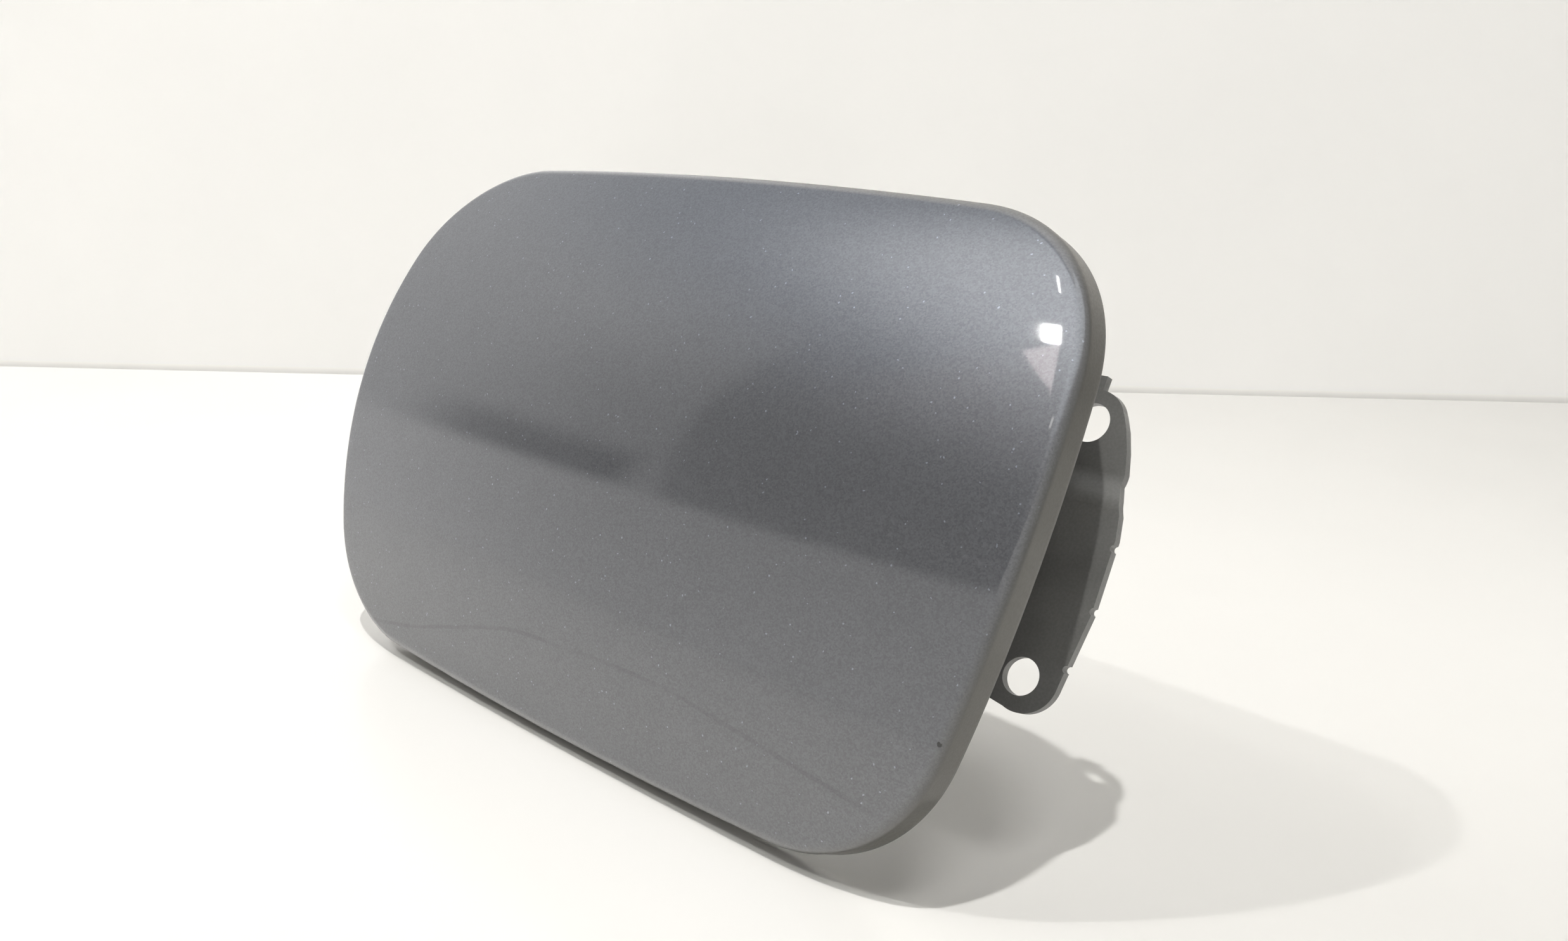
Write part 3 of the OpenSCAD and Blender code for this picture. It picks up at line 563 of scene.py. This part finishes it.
def room_glow():
    """What gloss and metal mirror: a pale table below, an unlit room in front that lightens to the
    free side, and lamps overhead. A sphere that only mirrored rays meet."""
    turn = np.linspace(0, 2 * np.pi, 49)[:-1]
    tilt = np.linspace(0, np.pi, 26)[1:-1]
    x = np.sin(tilt)[:, None] * np.cos(turn)
    y = np.sin(tilt)[:, None] * np.sin(turn)
    z = np.repeat(np.cos(tilt)[:, None], len(turn), axis=1)
    points = np.stack([x, y, z], axis=-1).reshape(-1, 3)
    points = np.concatenate([[[0, 0, 1.0]], points, [[0, 0, -1.0]]]) * ROOM_R + np.array(middle)
    n, m = len(turn), len(tilt)
    i = np.arange(n)
    k = (i + 1) % n
    j = np.arange(m - 1)[:, None] * n
    top = np.stack([np.zeros(n, int), 1 + k, 1 + i], axis=1)
    foot = np.stack([np.full(n, m * n + 1), 1 + (m - 1) * n + i, 1 + (m - 1) * n + k], axis=1)
    quads = np.stack([1 + j + i, 1 + j + k, 1 + j + n + k, 1 + j + n + i], axis=-1).reshape(-1, 4)
    made = surface("room_glow", points, [*top.tolist(), *quads.tolist(), *foot.tolist()])
    for ray in ("camera", "diffuse", "transmission", "volume_scatter", "shadow"):
        setattr(made, "visible_" + ray, False)
    f = Finish("room_glow", rough=1.0)
    spot = f.node("ShaderNodeVectorMath", operation="SUBTRACT")
    f.feed(spot.inputs[0], f.place)
    spot.inputs[1].default_value = middle
    way = f.node("ShaderNodeVectorMath", operation="NORMALIZE")
    f.feed(way.inputs[0], spot.outputs["Vector"])

    def part(direction):
        dot = f.node("ShaderNodeVectorMath", operation="DOT_PRODUCT")
        f.feed(dot.inputs[0], way.outputs["Vector"])
        dot.inputs[1].default_value = direction
        return dot.outputs["Value"]

    # Height is over the table; turn is 0 straight in front of the door and grows to its free side.
    height = f.maths("ARCSINE", part(TABLE_UP))
    turn = f.maths("ARCTAN2", part((-1.0, 0.0, 0.0)), part((0.0, -0.914, -0.406)))
    lift = f.maths("ADD", height, f.maths("MULTIPLY", f.maths("SUBTRACT", turn, 1.0), 0.267))
    lift = f.maths("SUBTRACT", lift, 0.19)
    over_table = f.ramp(lift, -0.02, 0.03)
    edge = f.maths("SUBTRACT", turn, f.maths("MULTIPLY", height, 0.335))
    room = f.maths("ADD", f.ramp(turn, 0.80, 1.15, 0.0, 0.48), f.ramp(edge, 0.66, 0.70, 0.0, 0.38))
    sliver = f.maths("MULTIPLY", f.ramp(lift, 0.13, 0.05), f.ramp(turn, 1.09, 0.98))
    sliver = f.maths("MULTIPLY", sliver, f.ramp(turn, 0.80, 0.84))
    room = f.maths("SUBTRACT", room, f.maths("MULTIPLY", sliver, 0.6))
    upper = f.maths("MULTIPLY", f.ramp(height, 0.55, 0.86), f.ramp(turn, 1.9, 1.5))
    lamps = f.maths("MULTIPLY", f.ramp(height, 0.75, 1.05), f.ramp(turn, 1.5, 1.15))
    sky_part = f.mix(f.ramp(turn, 0.85, 0.72), (0.30, 0.35, 0.43), (0.62, 0.59, 0.59))
    glow = f.mix(upper, f.mix(1.0, (1.0, 1.0, 1.0), room, "MULTIPLY"), sky_part)
    glow = f.mix(lamps, glow, (2.0, 2.08, 2.18))
    table = f.maths("ADD", f.ramp(turn, 0.7, 1.1, 0.7, 1.1), f.ramp(height, 0.1, -0.4, 0.0, 0.1))
    table = f.mix(1.0, (1.0, 0.99, 0.98), table, "MULTIPLY")
    glow = f.mix(f.maths("MULTIPLY", over_table, f.ramp(turn, 2.2, 1.9)), table, glow)
    # A small pinkish corner of something in the room, just below the glint.
    above = f.ramp(f.maths("SUBTRACT", height, f.maths("MULTIPLY", turn, 0.457)), 0.552, 0.557)
    below = f.ramp(f.maths("SUBTRACT", height, f.maths("MULTIPLY", turn, 0.79)), 0.352, 0.346)
    corner = f.maths("MULTIPLY", f.maths("MULTIPLY", above, below), f.ramp(turn, 0.778, 0.771))
    glow = f.mix(corner, glow, (5.0, 4.5, 4.6))
    light = f.node("ShaderNodeEmission")
    f.feed(light.inputs["Color"], glow)
    out = next(n for n in f.tree.nodes if n.type == "OUTPUT_MATERIAL")
    f.feed(out.inputs["Surface"], light.outputs[0])
    made.data.materials.append(f.mat)


def stage_finish():
    """White table and wall, seen from the front only and clear from behind, so that the door's back
    can be looked at. They throw no shadow, so lamps behind them shine through."""
    f = Finish("stage_white", rough=0.16, spec=0.4)
    smear = f.ramp(f.noise(160.0, 3.0), 0.3, 0.7, 0.985, 1.015)
    f.colour(f.mix(1.0, (0.88, 0.87, 0.845), smear, "MULTIPLY"))
    side = f.node("ShaderNodeNewGeometry").outputs["Backfacing"]
    rays = f.node("ShaderNodeLightPath").outputs
    wall = f.ramp(f.along(TABLE_UP), TABLE_LEVEL, TABLE_LEVEL + 0.004, 0.0, WALL_GLOW)
    f.feed(f.shader.inputs["Emission Strength"], f.maths("MULTIPLY", wall, rays["Is Camera Ray"]))
    f.shader.inputs["Emission Color"].default_value = (1.0, 0.985, 0.96, 1.0)
    clear = f.node("ShaderNodeBsdfTransparent")
    blend = f.node("ShaderNodeMixShader")
    f.feed(blend.inputs[0], f.maths("MAXIMUM", side, rays["Is Shadow Ray"]))
    f.feed(blend.inputs[1], f.shader.outputs[0])
    f.feed(blend.inputs[2], clear.outputs[0])
    out = next(n for n in f.tree.nodes if n.type == "OUTPUT_MATERIAL")
    f.feed(out.inputs["Surface"], blend.outputs[0])
    return f.mat


middle = Vector((-0.0932, -0.025, 0.017))
ROOM_R = 4.0
room_glow()
stage_white = stage_finish()
backdrop("table", (0.0, 2.2), (0.0, 0.0), (-2.0, 2.6))
# The face's clear coat would show this end of the wall as a hard edge, so it isn't mirrored.
backdrop("wall_end", (0.0, 0.0), (0.0, 1.1), (-0.25, 0.35), mirrored=False)
backdrop("wall", (0.0, 0.0), (0.0, 1.1), (0.35, 2.6))

# Light.
world = bpy.data.worlds.new("world")
world.use_nodes = True
bpy.context.scene.world = world
tree = world.node_tree
sky = tree.nodes["Background"]
rays = tree.nodes.new("ShaderNodeLightPath")
seen = tree.nodes.new("ShaderNodeMath")
seen.operation = "ADD"
tree.links.new(rays.outputs["Is Camera Ray"], seen.inputs[0])
tree.links.new(rays.outputs["Is Glossy Ray"], seen.inputs[1])
share = tree.nodes.new("ShaderNodeMath")
share.operation = "ADD"
share.use_clamp = True
tree.links.new(seen.outputs[0], share.inputs[0])
tree.links.new(rays.outputs["Is Transmission Ray"], share.inputs[1])
shade = tree.nodes.new("ShaderNodeMix")
shade.data_type = "RGBA"
tree.links.new(share.outputs[0], shade.inputs[0])
shade.inputs[6].default_value = (0.075, 0.072, 0.065, 1.0)
shade.inputs[7].default_value = (1.0, 1.0, 1.0, 1.0)
tree.links.new(shade.outputs[2], sky.inputs["Color"])


def lamp(name, direction, distance, size, power, aim=middle, mirrored=True):
    """An area lamp of a width and height, in a direction from the point that it shines on."""
    light = bpy.data.lights.new(name, "AREA")
    light.shape = "RECTANGLE"
    light.size, light.size_y = size
    light.energy = power
    light.color = (1.0, 0.99, 0.97)
    way = Vector(direction).normalized()
    side = Vector((-0.11, 0.67, 0.75)).cross(way).normalized()
    obj = bpy.data.objects.new(name, light)
    obj.matrix_world = Matrix((side, way.cross(side), way)).transposed().to_4x4()
    obj.location = aim + way * distance
    obj.visible_camera = False
    obj.visible_glossy = mirrored
    bpy.context.collection.objects.link(obj)


# The glints are what the clear coat mirrors of small lamps; the other lamps give light and shadow.
GLINT_AT = Vector((-0.0035, -0.0256, 0.0563))
SMALL_GLINT_AT = Vector((-0.0030, -0.0231, 0.0655))
lamp("glint", (-0.432, -0.69, 0.581), 1.8, (0.03, 0.085), 1.6, GLINT_AT)
lamp("small_glint", (-0.435, -0.587, 0.683), 1.8, (0.008, 0.09), 0.11, SMALL_GLINT_AT)
lamp("lamp_main", (0.04, -0.58, 0.815), 1.4, (0.03, 0.03), 9.2, mirrored=False)
lamp("lamp_side", (-0.38, -0.75, 0.54), 1.4, (0.025, 0.025), 3.8, mirrored=False)
lamp("lamp_above", (0.3, -0.45, 0.84), 1.2, (0.28, 0.28), 3.0, mirrored=False)
lamp("window", (-0.80, -0.55, 0.30), 2.2, (1.4, 1.4), 18.5, mirrored=False)
lamp("fill_behind", (0.3, 0.9, 0.1), 1.2, (0.8, 0.8), 5.0, mirrored=False)


# Finishes on nodes.
for node, slot in slot_of.items():
    if node in dressed:
        dressed[node].data.materials.clear()
        dressed[node].data.materials.append(finishes[slot])
    else:
        for s in frame["nodes"][node].material_slots:
            s.material = finishes[slot]

bpy.context.scene.view_settings.view_transform = "Standard"
